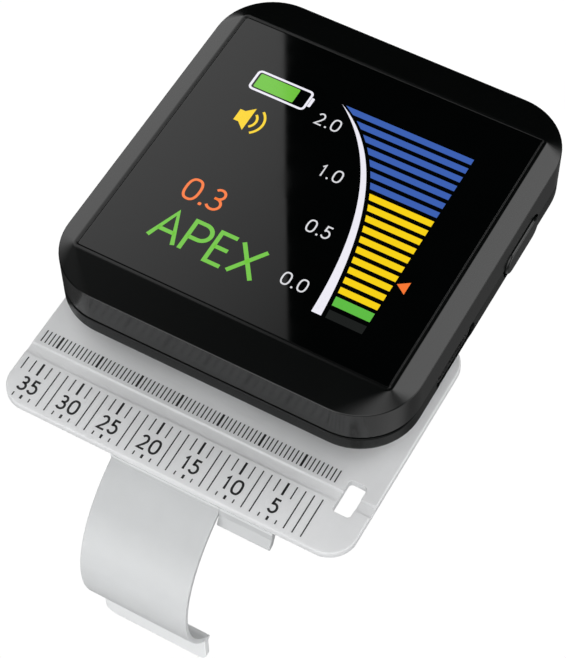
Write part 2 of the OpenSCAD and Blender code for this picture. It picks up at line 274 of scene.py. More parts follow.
def finish_mesh(bm, name):
    """Object from a bmesh in millimetres, shaded smooth with its sharp edges kept."""
    bmesh.ops.remove_doubles(bm, verts=bm.verts, dist=1e-5)
    bmesh.ops.recalc_face_normals(bm, faces=bm.faces)
    bmesh.ops.scale(bm, vec=(MM, MM, MM), verts=bm.verts)
    mesh = bpy.data.meshes.new(name)
    bm.to_mesh(mesh)
    bm.free()
    obj = bpy.data.objects.new(name, mesh)
    bpy.context.scene.collection.objects.link(obj)
    smooth(obj)
    return obj


def smooth(obj):
    """Smooth shading, with the edges above the sharp angle marked."""
    obj.data.shade_smooth()
    obj.data.set_sharp_from_angle(angle=math.radians(SHARP))


def keep_flats(obj):
    """Weighted normals, so that large flat faces stay flat beside rounded edges."""
    modifier = obj.modifiers.new("flats", "WEIGHTED_NORMAL")
    modifier.keep_sharp = True
    modifier.weight = 80


def combine(obj, tools, operation):
    """Applies booleans with the tool objects, which are then removed."""
    for tool in tools:
        modifier = obj.modifiers.new("shape", "BOOLEAN")
        modifier.operation = operation
        modifier.solver = "EXACT"
        modifier.object = tool
    bpy.context.view_layer.update()
    graph = bpy.context.evaluated_depsgraph_get()
    mesh = bpy.data.meshes.new_from_object(obj.evaluated_get(graph))
    obj.modifiers.clear()
    obj.data = mesh
    for tool in tools:
        bpy.data.objects.remove(tool)


def round_edges(obj, low, high, radius, angle):
    """Rounds the edges sharper than angle whose ends lie in a box, given in millimetres."""
    low, high = Vector(low) * MM, Vector(high) * MM
    bm = bmesh.new()
    bm.from_mesh(obj.data)
    bmesh.ops.remove_doubles(bm, verts=bm.verts, dist=1e-7)
    edges = []
    for edge in bm.edges:
        inside = all(low[k] <= v.co[k] <= high[k] for v in edge.verts for k in range(3))
        if inside and len(edge.link_faces) == 2 and edge.calc_face_angle() > math.radians(angle):
            edges.append(edge)
    bmesh.ops.bevel(bm, geom=edges, offset=radius * MM, offset_type="OFFSET", segments=2,
                    profile=0.5, affect="EDGES", clamp_overlap=True)
    bm.to_mesh(obj.data)
    bm.free()


def prism_tool(outline, t0, t1, place=on_xy):
    """A plain solid that a boolean uses."""
    bm = bmesh.new()
    add_prism(bm, outline, t0, t1, place)
    return finish_mesh(bm, "tool")


def stadium(length, height, cy, cz, steps=12):
    """Outline in y and z of a bar with round ends."""
    r = height / 2
    reach = length / 2 - r
    return arc(cy + reach, cz, r, r, -90, 90, 2 * steps) + arc(cy - reach, cz, r, r, 90, 270, 2 * steps)


# ---------- material helpers ----------

SURFACES = {}


class Nodes:
    """A material's node tree, with the few calls that the materials below need."""

    def __init__(self, name):
        self.material = bpy.data.materials.new(name)
        self.material.use_nodes = True
        self.tree = self.material.node_tree
        self.shader = self.tree.nodes["Principled BSDF"]
        self.where = self.tree.nodes.new("ShaderNodeTexCoord").outputs["Object"]
        SURFACES[name] = self.material

    def put(self, **values):
        """Sets the shader's own sockets."""
        for key, value in values.items():
            self.shader.inputs[key.replace("_", " ")].default_value = value

    def texture(self, kind, size_mm, stretch=(1, 1, 1)):
        """Texture node whose features are about size_mm across."""
        mapping = self.tree.nodes.new("ShaderNodeMapping")
        mapping.inputs["Scale"].default_value = [1 / (size_mm * MM * s) for s in stretch]
        node = self.tree.nodes.new(kind)
        node.inputs["Scale"].default_value = 1.0
        self.link(self.where, mapping.inputs["Vector"])
        self.link(mapping.outputs["Vector"], node.inputs["Vector"])
        return node

    def noise(self, size_mm, detail=3.0, stretch=(1, 1, 1)):
        """Soft noise from 0 to 1."""
        node = self.texture("ShaderNodeTexNoise", size_mm, stretch)
        node.inputs["Detail"].default_value = detail
        return node.outputs["Fac"]

    def cells(self, size_mm):
        """Distance to the nearest point of a random cell pattern."""
        return self.texture("ShaderNodeTexVoronoi", size_mm).outputs["Distance"]

    def spread(self, source, low, high, start=0.3, end=0.7):
        """Source, remapped from start..end to low..high."""
        node = self.tree.nodes.new("ShaderNodeMapRange")
        node.inputs["From Min"].default_value = start
        node.inputs["From Max"].default_value = end
        node.inputs["To Min"].default_value = low
        node.inputs["To Max"].default_value = high
        self.link(source, node.inputs["Value"])
        return node.outputs["Result"]

    def tint(self, source, low, high, start=0.3, end=0.7):
        """Colour ramp between two linear colours."""
        node = self.tree.nodes.new("ShaderNodeValToRGB")
        first, last = node.color_ramp.elements
        first.position, last.position = start, end
        first.color = (*low, 1)
        last.color = (*high, 1)
        self.link(source, node.inputs["Fac"])
        return node.outputs["Color"]

    def bump(self, source, depth_mm):
        """Raises the surface by the source, up to depth_mm."""
        node = self.tree.nodes.new("ShaderNodeBump")
        node.inputs["Strength"].default_value = 1.0
        node.inputs["Distance"].default_value = depth_mm * MM
        self.link(source, node.inputs["Height"])
        self.link(node.outputs["Normal"], self.shader.inputs["Normal"])

    def shade_by_height(self, low_mm, high_mm, below, above):
        """Scales the base colour by one factor below a height and by another above it: painted light
        and shade.
        """
        height = self.tree.nodes.new("ShaderNodeSeparateXYZ")
        self.link(self.where, height.inputs["Vector"])
        factor = self.spread(height.outputs["Z"], below, above, low_mm * MM, high_mm * MM)
        node = self.tree.nodes.new("ShaderNodeVectorMath")
        node.operation = "SCALE"
        self.link(self.shader.inputs["Base Color"].links[0].from_socket, node.inputs["Vector"])
        self.link(factor, node.inputs["Scale"])
        self.link(node.outputs["Vector"], self.shader.inputs["Base Color"])

    def link(self, source, target):
        self.tree.links.new(source, target)

    def into(self, **sources):
        """Links outputs to the shader's sockets."""
        for key, source in sources.items():
            self.link(source, self.shader.inputs[key.replace("_", " ")])


def srgb(*values):
    """Linear colour from 0..255 display values."""
    return tuple((v / 255 / 12.92) if v <= 10 else ((v / 255 + 0.055) / 1.055) ** 2.4 for v in values)


def scaled(colour, factor):
    """Colour made lighter or darker by a factor."""
    return tuple(c * factor for c in colour)


def plain_plastic(name, colour, rough, grain_mm=0.2, depth_mm=0.002, contrast=0.12, **extra):
    """Moulded plastic with a fine grain, a little colour drift and uneven gloss."""
    n = Nodes(name)
    drift = n.noise(3.0)
    grain = n.noise(grain_mm, detail=4.0)
    n.into(Base_Color=n.tint(drift, scaled(colour, 1 - contrast), scaled(colour, 1 + contrast)))
    n.into(Roughness=n.spread(grain, rough * 0.88, min(1.0, rough * 1.12)))
    n.bump(grain, depth_mm)
    n.put(**extra)
    return n


def metal(name, colour, rough, stretch=(1, 1, 1)):
    """Metal with fine drawn lines and a smudged gloss."""
    n = Nodes(name)
    lines = n.noise(0.12, detail=4.0, stretch=stretch)
    smudge = n.noise(2.0)
    n.into(Base_Color=n.tint(smudge, scaled(colour, 0.85), scaled(colour, 1.1)))
    n.into(Roughness=n.spread(lines, rough * 0.7, rough * 1.3))
    n.bump(lines, 0.002)
    n.put(Metallic=1.0)
    return n


def lit(name, colour, strength=1.0):
    """Display mark: it glows in one colour, through a fine grid of picture cells."""
    n = Nodes(name)
    grid = n.cells(0.09)
    low, high = scaled(colour, 0.95), scaled(colour, 1.02)
    n.put(Base_Color=(0, 0, 0, 1), Roughness=0.05, Specular_IOR_Level=0.5)
    n.into(Emission_Color=n.tint(grid, high, low, 0.2, 0.8))
    n.put(Emission_Strength=strength)
    return n


# ---------- materials ----------


SHELL_BLACK = (0.001, 0.0014, 0.0013)
COVER_BLACK = (0.0018, 0.0024, 0.0023)


def make_materials():
    """Every finish that NODE_FINISH and the pieces name."""
    shell = plain_plastic("shell_satin", SHELL_BLACK, 0.17, grain_mm=0.09, depth_mm=0.0015,
                          contrast=0.1)
    shell.put(IOR=1.46)
    cover = plain_plastic("cover_satin", COVER_BLACK, 0.24, grain_mm=0.09, depth_mm=0.0015,
                          contrast=0.1)
    cover.put(IOR=1.40, Specular_IOR_Level=0.22)
    plain_plastic("button_satin", (0.004, 0.005, 0.0048), 0.22, grain_mm=0.09, depth_mm=0.0015)
    band = frosted("band_frosted", srgb(222, 224, 225), 0.38)
    band.shade_by_height(LIP_TOP, LIP_TOP + 0.8, 1.32, 1.0)     # painted highlight: the lip's colour is made lighter, as if lit from the front
    band.shade_by_height(3.0, 10.0, 1.0, 0.80)                  # painted shade: the upper arc's colour is made darker, as if shaded by the plate above
    band.shade_by_height(13.55, 13.65, 1.0, 1.3)                # painted highlight: the strip under the plate is made lighter, like a lit ledge
    frosted("plate_frosted", srgb(229, 230, 231), 0.46)
    glass = Nodes("black_glass")
    smear = glass.noise(6.0, detail=2.0)
    glass.put(Specular_IOR_Level=0.5, IOR=1.5)
    glass.into(Base_Color=glass.tint(smear, (0.0003, 0.0006, 0.0006), (0.0005, 0.0008, 0.0008)))
    glass.into(Roughness=glass.spread(smear, 0.012, 0.03))
    plain_plastic("seal_rubber", (0.004, 0.004, 0.004), 0.85, grain_mm=0.3)
    metal("screw_steel", (0.55, 0.55, 0.57), 0.3)
    metal("can_steel", (0.6, 0.6, 0.6), 0.35, stretch=(8, 1, 1))
    metal("socket_steel", (0.3, 0.3, 0.3), 0.3, stretch=(6, 1, 1))
    metal("speaker_metal", (0.2, 0.2, 0.21), 0.4)
    plain_plastic("panel_black", (0.006, 0.007, 0.009), 0.25)
    plain_plastic("tray_white", (0.75, 0.75, 0.72), 0.5)
    plain_plastic("guide_acrylic", (0.8, 0.85, 0.88), 0.1, contrast=0.03)
    plain_plastic("ribbon_film", (0.5, 0.24, 0.05), 0.35)
    board_laminate()
    plain_plastic("chip_epoxy", (0.012, 0.012, 0.013), 0.6, grain_mm=0.1)
    plain_plastic("connector_plastic", (0.7, 0.66, 0.52), 0.45)
    plain_plastic("core_plastic", (0.01, 0.01, 0.012), 0.4)
    plain_plastic("switch_plastic", (0.6, 0.6, 0.61), 0.45)
    plain_plastic("key_plastic", srgb(214, 216, 218), 0.45, contrast=0.02)
    metal("cell_foil", (0.66, 0.67, 0.7), 0.32)
    plain_plastic("foam_black", (0.02, 0.02, 0.022), 0.95, grain_mm=0.5, depth_mm=0.1)
    plain_plastic("wire_red", (0.45, 0.02, 0.02), 0.4)
    speaker_cloth()
    plain_plastic("print_ink", (0.008, 0.008, 0.009), 0.5, grain_mm=0.1, depth_mm=0.001)
    lit("lit_white", srgb(240, 238, 248))
    lit("lit_label", srgb(222, 222, 226))
    lit("lit_green", srgb(112, 196, 62))
    lit("lit_lime", srgb(96, 190, 70))
    lit("lit_yellow", srgb(250, 212, 24))
    lit("lit_orange", srgb(250, 122, 54))
    lit("lit_blue", srgb(62, 98, 180))
    lit("lit_dark", srgb(30, 32, 31))


def frosted(name, colour, rough):
    """Frosted translucent resin: light soaks in a little, and the skin has a fine bead-blast grain."""
    n = plain_plastic(name, colour, rough, grain_mm=0.22, depth_mm=0.004, contrast=0.015)
    n.put(Subsurface_Weight=0.25, Subsurface_Scale=0.0012, Subsurface_Radius=(1.0, 1.0, 1.0))
    n.put(IOR=1.49, Specular_IOR_Level=0.4)
    return n


def board_laminate():
    """Green laminate: a glass weave shows faintly through the solder mask."""
    n = Nodes("board_laminate")
    weave = n.cells(0.35)
    n.into(Base_Color=n.tint(weave, (0.012, 0.11, 0.05), (0.02, 0.16, 0.07), 0.1, 0.9))
    n.put(Roughness=0.3)
    n.bump(weave, 0.01)


def speaker_cloth():
    """Black mesh: cells closed by threads."""
    n = Nodes("speaker_cloth")
    weave = n.cells(0.25)
    n.into(Base_Color=n.tint(weave, (0.004, 0.004, 0.004), (0.06, 0.06, 0.06), 0.2, 0.6))
    n.put(Roughness=0.8)
    n.bump(weave, 0.05)


NODE_FINISH = {
    "finger_band": "band_frosted", "ruler_plate": "plate_frosted", "slide_key": "key_plastic",
    "key_screws": "screw_steel", "rear_cover": "cover_satin", "front_bezel": "shell_satin",
    "seam_gasket": "seal_rubber", "case_screws": "screw_steel", "display_glass": "black_glass",
    "glass_gasket": "seal_rubber", "display_panel": "panel_black", "light_guide": "guide_acrylic",
    "backlight_tray": "tray_white", "display_ribbon": "ribbon_film",
    "ribbon_connector": "core_plastic", "main_board": "board_laminate",
    "board_screws": "screw_steel", "controller_chip": "chip_epoxy",
    "amplifier_chip": "chip_epoxy", "shield_can": "can_steel", "power_coil": "chip_epoxy",
    "button_switch": "switch_plastic", "side_button": "button_satin",
    "socket_shell": "socket_steel", "socket_core": "core_plastic", "battery_pack": "cell_foil",
    "battery_foam": "foam_black", "battery_wires": "wire_red",
    "battery_connector": "connector_plastic", "speaker": "speaker_metal",
    "speaker_mesh": "speaker_cloth",
}


def dress(obj, finish):
    """Gives an object one finish."""
    obj.data.materials.clear()
    obj.data.materials.append(SURFACES[finish])


def dress_frame():
    """Gives every CAD node its procedural finish."""
    for name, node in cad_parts.items():
        dress(node, NODE_FINISH[name])


def place(obj, finish, body, slot, stands_for=None):
    """Gives a new piece its finish and body, and hides the CAD node that it stands for. The slot
    argument is not used.
    """
    dress(obj, finish)
    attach(obj, body)
    if stands_for:
        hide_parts(stands_for)


# ---------- ring unit ----------


def band_outline():
    """Section of the band in y and z: root pad, arc out to the lip, and back inside."""
    pad_z = PLATE_LOW.z - PAD_T
    front = PLATE_LOW.y
    start = math.degrees(math.atan2(pad_z, -math.sqrt(BAND_OUTER_R ** 2 - pad_z ** 2)))
    root_angle = math.degrees(math.acos(BAND_ROOT_Y / BAND_INNER_R))
    outer = arc(0, 0, BAND_OUTER_R, BAND_OUTER_R, start, BAND_END, 36)
    inner = arc(0, 0, BAND_INNER_R, BAND_INNER_R, BAND_END, root_angle, 40)
    head = [(BAND_ROOT_Y, PLATE_LOW.z), (front, PLATE_LOW.z), (front, pad_z + BAND_EDGE)]
    return head + outer + inner


def lip_outline(half):
    """Front view of the lip, with its two lower corners round."""
    side = half - LIP_CORNER
    foot = BAND_LOW.z + LIP_CORNER
    return ([(half, LIP_TOP), (-half, LIP_TOP)]
            + arc(-side, foot, LIP_CORNER, LIP_CORNER, 180, 270, 10)
            + arc(side, foot, LIP_CORNER, LIP_CORNER, -90, 0, 10))


def flange_outline():
    """Section of the stub flange in y and z: it curls forwards below the plate."""
    front, under = PLATE_LOW.y, PLATE_LOW.z
    return filleted([
        (front + 0.02, under, 0), (front - 0.15, under - 1.2, 0.8), (front - 0.72, under - 2.5, 0.25),
        (front - 0.6, under - 2.75, 0.12), (front + 0.15, under - 2.6, 0.4),
        (front + 0.7, under - 1.3, 0.8), (front + 0.8, under, 0)])


def build_band():
    """Finger band with its turned-down lip, and the stub flange beside it."""
    half = -BAND_LOW.x
    bm = bmesh.new()
    add_prism(bm, band_outline(), -half, half, on_yz, soft=BAND_EDGE)
    add_prism(bm, lip_outline(half), LIP_FRONT, LIP_FRONT + LIP_T, on_xz, soft=BAND_EDGE)
    band = finish_mesh(bm, "band_ring")
    keep_flats(band)
    place(band, "band_frosted", "ring_unit", "band_plastic", "finger_band")

    bm = bmesh.new()
    add_prism(bm, flange_outline(), half, BAND_HIGH.x, on_yz, soft=0.1, steps=2)
    flange = finish_mesh(bm, "band_stub_flange")
    keep_flats(flange)
    place(flange, "band_frosted", "ring_unit", "band_plastic")


def groove_outline():
    """Section of the file groove in y and z, with its rear wall leaning back a little."""
    near, far = GROOVE_Y - GROOVE_HALF, GROOVE_Y + GROOVE_HALF
    above, floor = PLATE_TOP + 1, PLATE_TOP - GROOVE_DEPTH
    return filleted([
        (near, above, 0), (near, floor, 0.08), (GROOVE_Y + 0.6, floor, 0.15), (far, PLATE_TOP, 0),
        (far, above, 0)])


def build_plate():
    """Ruler plate with its file groove, square hole and screw holes."""
    w = PLATE_HIGH.x - PLATE_LOW.x
    d = PLATE_HIGH.y - PLATE_LOW.y
    under, over = PLATE_LOW.z - 1, PLATE_TOP + 1
    bm = bmesh.new()
    add_prism(bm, rounded_rect(w, d, PLATE_CORNER, 0, PLATE_MID), PLATE_LOW.z, PLATE_TOP,
              soft=PLATE_EDGE, steps=4)
    plate = finish_mesh(bm, "ruler_plate_body")
    tools = [prism_tool(groove_outline(), -w, w, on_yz),
             prism_tool(rounded_rect(HOLE_W, HOLE_D, 0.4, HOLE_X, HOLE_Y, 6), under, over)]
    for y in KEY_SCREWS_Y:
        tools.append(prism_tool(disc(0, y, KEY_BORE_R, 48), under, over))
        tools.append(prism_tool(disc(0, y, KEY_HEAD_R, 48), under, PLATE_LOW.z + KEY_HEAD_DEPTH))
    combine(plate, tools, "DIFFERENCE")
    reach = GROOVE_HALF + 0.17
    round_edges(plate, (-w, GROOVE_Y - reach, PLATE_TOP - 0.1), (w, GROOVE_Y + reach, PLATE_TOP + 0.1),
                GROOVE_EDGE, angle=25)
    round_edges(plate, (HOLE_X - 1.2, HOLE_Y - 2.3, PLATE_TOP - 0.6),
                (HOLE_X + 1.2, HOLE_Y + 2.3, PLATE_TOP + 0.1), 0.1, angle=40)
    smooth(plate)
    keep_flats(plate)
    place(plate, "plate_frosted", "ring_unit", "ruler_plastic", "ruler_plate")


# ---------- numerals and letters as strokes ----------


def oval(power=2.5, steps=40):
    """Closed, slightly squared oval in the unit box."""
    points = []
    for i in range(steps):
        a = 2 * math.pi * i / steps
        c, s = math.cos(a), math.sin(a)
        points.append((0.5 + 0.5 * math.copysign(abs(c) ** (2 / power), c),
                       0.5 + 0.5 * math.copysign(abs(s) ** (2 / power), s)))
    return points


def glyph(sign):
    """Centre lines of a sign in the unit box, as (points, closed) pairs."""
    if sign == "0":
        return [(oval(), True)]
    if sign == "1":
        return [([(0.22, 0.8), (0.62, 1.0), (0.62, 0.0)], False)]
    if sign == "2":
        bend = arc(0.47, 0.72, 0.44, 0.28, 155, -30, 16)
        return [(bend + [(0.62, 0.38), (0.02, 0.0), (1.0, 0.0)], False)]
    if sign == "3":
        top = arc(0.42, 0.77, 0.45, 0.23, 145, -90, 16)
        low = arc(0.40, 0.27, 0.56, 0.27, 90, -150, 18)
        return [(top + [(0.2, 0.54)], False), ([(0.24, 0.54)] + low, False)]
    if sign == "5":
        bowl = arc(0.40, 0.32, 0.56, 0.32, 122, -152, 20)
        return [([(0.92, 1.0), (0.17, 1.0), (0.1, 0.53)], False), (bowl, False)]
    if sign == "A":
        return [([(0.0, 0.0), (0.5, 1.0), (1.0, 0.0)], False), ([(0.17, 0.34), (0.83, 0.34)], False)]
    if sign == "P":
        bowl = arc(0.52, 0.73, 0.48, 0.27, 90, -90, 16)
        return [([(0.0, 0.0), (0.0, 1.0)] + bowl + [(0.03, 0.46)], False)]
    if sign == "E":
        return [([(1.0, 1.0), (0.0, 1.0), (0.0, 0.0), (1.0, 0.0)], False),
                ([(0.03, 0.52), (0.9, 0.52)], False)]
    if sign == "X":
        return [([(0.0, 1.0), (1.0, 0.0)], False), ([(1.0, 1.0), (0.0, 0.0)], False)]
    raise ValueError(sign)


def add_sign(bm, sign, x, y, w, h, stroke, z0, z1):
    """Adds a sign whose ink fills the box from (x, y) to (x + w, y + h)."""
    if sign == ".":
        side = stroke * 1.25
        cx = x + w / 2
        add_prism(bm, rounded_rect(side, side, side * 0.3, cx, y + side / 2, 3), z0, z1)
        return
    for points, closed in glyph(sign):
        line = [(x + stroke / 2 + u * (w - stroke), y + stroke / 2 + v * (h - stroke))
                for u, v in points]
        add_stroke(bm, line, stroke, z0, z1, closed)


# widths of the signs as shares of their height
SIGN_W = {"0": 0.64, "1": 0.5, "2": 0.58, "3": 0.56, "5": 0.56, ".": 0.18,
          "A": 0.78, "P": 0.62, "E": 0.53, "X": 0.745}
SIGN_GAP = 0.115


def line_width(text, h, gap):
    """Width of a line of signs."""
    return sum(SIGN_W[c] * h for c in text) + gap * h * (len(text) - 1)


def add_line(bm, text, x, y, h, stroke, z0, z1, gap=SIGN_GAP):
    """Adds a line of signs from x rightwards, standing on y."""
    for sign in text:
        w = SIGN_W[sign] * h
        add_sign(bm, sign, x, y, w, h, stroke, z0, z1)
        x += w + gap * h


# ---------- ruler print ----------

ZERO_X = 16.8           # the ruler's zero mark
FINE_LOW, FINE_HIGH = 1.18, 2.75        # ends of the half-millimetre marks
MAIN_TOP, MAIN_SHORT = -1.15, -2.75     # top of every mark, and where a short one stops
MAIN_FOOT, MAIN_BOTTOM = -5.55, -6.03   # top of a short mark's foot, and the bottom of every mark
NUMERAL_Y, NUMERAL_H, NUMERAL_STROKE = -5.13, 1.86, 0.26
THIN, BOLD = 0.135, 0.26                # widths of the marks
LAST_MARK = 37
PRINT_LOW, PRINT_TOP = PLATE_TOP - PRINT_T, PLATE_TOP + PRINT_T / 2


def tick(bm, mm, y0, y1, width):
    """Adds a mark that stands mm from the zero mark."""
    x = ZERO_X - mm
    outline = [(x - width / 2, y0), (x + width / 2, y0), (x + width / 2, y1), (x - width / 2, y1)]
    add_prism(bm, outline, PRINT_LOW, PRINT_TOP)


def build_ruler_print():
    """Half-millimetre row, millimetre row and numerals."""
    bm = bmesh.new()
    for half_mm in range(2, 2 * LAST_MARK + 1):
        bold = half_mm % 10 == 0
        tick(bm, half_mm / 2, FINE_LOW, FINE_HIGH, BOLD if bold else THIN)
    fine = finish_mesh(bm, "scale_half_millimetres")
    place(fine, "print_ink", "ring_unit", "ruler_plastic")

    bm = bmesh.new()
    for mm in range(1, LAST_MARK + 1):
        near = min(mm % 5, 5 - mm % 5)
        if (near == 2 or mm < 4) and mm < LAST_MARK:
            tick(bm, mm, MAIN_BOTTOM, MAIN_TOP, THIN)
            continue
        width = BOLD if near == 0 else THIN
        tick(bm, mm, MAIN_SHORT, MAIN_TOP, width)
        if mm < LAST_MARK:
            tick(bm, mm, MAIN_BOTTOM, MAIN_FOOT, width)
    main = finish_mesh(bm, "scale_millimetres")
    place(main, "print_ink", "ring_unit", "ruler_plastic")

    bm = bmesh.new()
    for mm in range(5, LAST_MARK, 5):
        text = str(mm)
        x = ZERO_X - mm - line_width(text, NUMERAL_H, SIGN_GAP) / 2
        add_line(bm, text, x, NUMERAL_Y, NUMERAL_H, NUMERAL_STROKE, PRINT_LOW, PRINT_TOP)
    numerals = finish_mesh(bm, "scale_numerals")
    place(numerals, "print_ink", "ring_unit", "ruler_plastic")


# ---------- case ----------


def case_ring(bm, inset, z, r):
    """Loop of vertices along the case's outline, moved in by inset."""
    outline = rounded_rect(CASE_W - 2 * inset, CASE_D - 2 * inset, r, 0, CASE_MID)
    return [bm.verts.new((x, y, z)) for x, y in outline]


def glass_ring(bm, grow, z, r):
    """Loop of vertices along the glass's outline, moved out by grow."""
    outline = rounded_rect(GLASS_W + 2 * grow, GLASS_D + 2 * grow, r, 0, GLASS_MID)
    return [bm.verts.new((x, y, z)) for x, y in outline]


def soften_rings(bm, loops, radii):
    """Rounds whole loops of edges; radii maps a loop's number to its radius."""
    wanted = []
    for index, radius in radii.items():
        loop = set(loops[index])
        edges = [e for e in bm.edges if e.verts[0] in loop and e.verts[1] in loop]
        wanted.append((edges, radius))
    for edges, radius in wanted:
        bmesh.ops.bevel(bm, geom=edges, offset=radius, offset_type="OFFSET", segments=4,
                        profile=0.5, affect="EDGES", clamp_overlap=True)


def wall_tools():
    """Cutters for the button's recess and the lead socket's opening."""
    x1 = CASE_W / 2 + 1
    button = stadium(BUTTON_L + 2 * BUTTON_GAP, BUTTON_H + 2 * BUTTON_GAP, BUTTON_Y, BUTTON_Z)
    socket = stadium(SOCKET_L, SOCKET_H, SOCKET_Y, SOCKET_Z)
    return [prism_tool(button, CASE_W / 2 - WALL - 1, x1, on_yz),
            prism_tool(socket, CASE_W / 2 - 3 * WALL, x1, on_yz)]


def soften_openings(shell, z0, z1):
    """Rounds the outer rims of the two side openings."""
    x0, x1 = CASE_W / 2 - 0.05, CASE_W / 2 + 0.05
    for y, reach in ((BUTTON_Y, 4.3), (SOCKET_Y, 4.5)):
        round_edges(shell, (x0, y - reach, z0), (x1, y + reach, z1), 0.12, angle=60)


def corner_places():
    """Centres of the four case screws."""
    return [(sx * (CASE_W / 2 - CORNER), CASE_MID + sy * (CASE_D / 2 - CORNER))
            for sx in (-1, 1) for sy in (-1, 1)]


def corner_webs():
    """The front shell's screw posts, each with a web that ties it to the corner of the wall."""
    solids = []
    r = CORNER - WALL + 0.2
    for x, y in corner_places():
        sx = math.copysign(1, x)
        sy = math.copysign(1, y - CASE_MID)
        turn = {(1, -1): -90, (1, 1): 0, (-1, 1): 90, (-1, -1): 180}[(sx, sy)]
        near_x, near_y = x - sx * POST_R, y - sy * POST_R
        corner = arc(x, y, r, r, turn, turn + 90, ARC_STEPS)
        if sx * sy > 0:
            web = [(near_x, near_y), (x + sx * r, near_y)] + corner + [(near_x, y + sy * r)]
        else:
            web = [(near_x, near_y), (near_x, y + sy * r)] + corner + [(x + sx * r, near_y)]
        solids.append(prism_tool(web, WEB_Z, WEB_Z + 1))
        solids.append(prism_tool(disc(x, y, POST_R, 32), POST_END, WEB_Z + 0.9))
    return solids


def build_bezel():
    """Front shell: walls, brow, slope up to the flat rim, glass pocket and window."""
    bm = bmesh.new()
    window = -WINDOW_MARGIN
    inner_r = CORNER - WALL
    loops = [
        case_ring(bm, 0, SEAM_HIGH.z + SEAM_GAP, CORNER),
        case_ring(bm, 0, BROW_Z, CORNER),
        glass_ring(bm, RIM, TOP, 0.7),
        glass_ring(bm, 0.05, TOP, 0.3),
        glass_ring(bm, 0.05, POCKET_Z, 0.3),
        glass_ring(bm, window, POCKET_Z, 0.3),
        glass_ring(bm, window, LEDGE_Z, 0.3),
        case_ring(bm, WALL, LEDGE_Z, inner_r),
        case_ring(bm, WALL, SEAM_HIGH.z + SEAM_GAP, inner_r),
    ]
    bridge(bm, loops, closed=True)
    soften_rings(bm, loops, {0: 0.14, 1: 0.1, 2: 0.1, 3: 0.06})
    bezel = finish_mesh(bm, "bezel_shell")
    combine(bezel, corner_webs(), "UNION")
    bores = [prism_tool(disc(x, y, PILOT_R, 24), POST_END - 1, WEB_Z + 0.6)
             for x, y in corner_places()]
    combine(bezel, wall_tools() + bores, "DIFFERENCE")
    soften_openings(bezel, SEAM_HIGH.z + 0.3, BROW_Z)
    smooth(bezel)
    keep_flats(bezel)
    place(bezel, "shell_satin", "case", "shell_plastic", "front_bezel")


KEY_PLAY = 0.2          # gap between the slide key and its channel's rear end
CHANNEL_HEAD = (KEY_HIGH.x - KEY_LOW.x) / 2 + 0.25      # half width round the key's head
CHANNEL_STEM = 4.25                                     # half width round the key's stem
CHANNEL_ROOF = FLOOR_Z + 1.5


def channel_housing(y0, y1):
    """Raised box inside the rear shell that closes the key's channel."""
    outline = rounded_rect(2 * CHANNEL_HEAD + 2.1, y1 - y0, 0.4, 0, (y1 + y0) / 2, 3)
    return prism_tool(outline, FLOOR_Z - 0.5, CHANNEL_ROOF + 0.7)


def channel_tools(y0, y1):
    """Cutters for the key's T-shaped channel."""
    def slot(half, low, high):
        return prism_tool(rounded_rect(2 * half, y1 - y0, 0.3, 0, (y1 + y0) / 2, 3), low, high)
    return [slot(CHANNEL_STEM, COVER_LOW.z - 1, FLOOR_Z + 0.1),
            slot(CHANNEL_HEAD, FLOOR_Z, CHANNEL_ROOF)]


def build_cover():
    """Rear shell: walls, skirt, tapered bottom, and the closed channel for the slide key."""
    bm = bmesh.new()
    inner_r = CORNER - WALL
    loops = [
        case_ring(bm, TAPER, COVER_LOW.z, CORNER - TAPER),
        case_ring(bm, TAPER - 0.2, COVER_LOW.z + 0.3, CORNER - TAPER),
        case_ring(bm, 0, SKIRT_Z, CORNER),
        case_ring(bm, 0, SEAM_LOW.z - SEAM_GAP, CORNER),
        case_ring(bm, WALL, SEAM_LOW.z - SEAM_GAP, inner_r),
        case_ring(bm, WALL, SKIRT_Z + 0.2, inner_r),
        case_ring(bm, TAPER + 0.5, FLOOR_Z, CORNER - TAPER - 0.4),
    ]
    bridge(bm, loops)
    soften_rings(bm, loops, {0: 0.25, 2: 0.35, 3: 0.14})
    cover = finish_mesh(bm, "cover_shell")

    front, rear = BEZEL_LOW.y, KEY_HIGH.y + KEY_PLAY
    posts = [prism_tool(disc(x, y, POST_R, 32), FLOOR_Z - 0.5, POST_END - 0.1)
             for x, y in corner_places()]
    combine(cover, [channel_housing(front + 4, rear + 0.9)] + posts, "UNION")
    below = COVER_LOW.z - 1
    tools = wall_tools() + channel_tools(front - 1, rear)
    for x, y in corner_places():
        tools.append(prism_tool(disc(x, y, SCREW_HEAD_R, 32), below, COVER_LOW.z + SCREW_HEAD_DEPTH))
        tools.append(prism_tool(disc(x, y, SHANK_R, 24), below, POST_END + 1))
    speaker_x = (SPEAKER_LOW.x + SPEAKER_HIGH.x) / 2
    speaker_y = (SPEAKER_LOW.y + SPEAKER_HIGH.y) / 2
    for i in range(-2, 3):
        tools.append(prism_tool(disc(speaker_x, speaker_y + SPEAKER_PITCH * i, SPEAKER_HOLE_R, 24),
                                below, FLOOR_Z + 0.1))
    combine(cover, tools, "DIFFERENCE")
    soften_openings(cover, SKIRT_Z + 0.4, SEAM_LOW.z - 0.3)
    round_edges(cover, (-15, front, COVER_LOW.z - 0.05), (15, COVER_HIGH.y, COVER_LOW.z + 0.05),
                0.12, angle=60)
    smooth(cover)
    keep_flats(cover)
    place(cover, "cover_satin", "case", "shell_plastic", "rear_cover")


def build_glass():
    """Black cover glass with a ground edge."""
    bm = bmesh.new()
    add_prism(bm, rounded_rect(GLASS_W, GLASS_D, 0.3, 0, GLASS_MID, 6), GLASS_LOW.z, GLASS_TOP,
              soft=0.08, steps=2)
    glass = finish_mesh(bm, "cover_glass")
    keep_flats(glass)
    place(glass, "black_glass", "case", "display_glass", "display_glass")


CROWN_D, CROWN_INSET, CROWN_STEPS = 0.3, 0.28, 7
STEM_R, FLANGE_T = 0.7, 0.6


